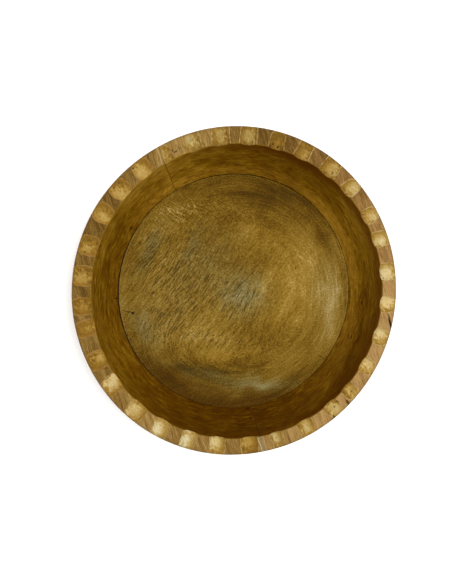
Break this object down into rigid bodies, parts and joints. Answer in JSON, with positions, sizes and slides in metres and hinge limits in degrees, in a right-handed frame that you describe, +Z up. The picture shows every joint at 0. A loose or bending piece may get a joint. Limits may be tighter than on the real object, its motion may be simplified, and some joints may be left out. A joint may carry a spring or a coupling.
{
  "type": "carved wooden bowl",
  "caption": "Thick-walled round turned wooden bowl with a rim of hand-cut gouge scoops and a separate inset floor board.",
  "frame": {"origin": "middle of the bowl's flat base, on the surface it stands on", "axes": "+Z up out of the bowl's mouth; +X to the right and +Y to the back as the bowl is seen from above"},
  "size_m": [0.3026, 0.3066, 0.078],
  "materials": {
    "wall_wood": "oiled, satin",
    "floor_wood": "oiled, satin",
    "joint_filler": "dried wood filler and glue, matt",
    "seam_glue": "dark dried wood glue, matt"
  },
  "bodies": {
    "root": {"wall_board_large": "wall_wood", "wall_board_small": "wall_wood", "board_joint_filler_back": "joint_filler", "board_joint_filler_front": "joint_filler", "floor_disc": "floor_wood", "floor_seam_glue": "seam_glue"}
  },
  "joints": []
}
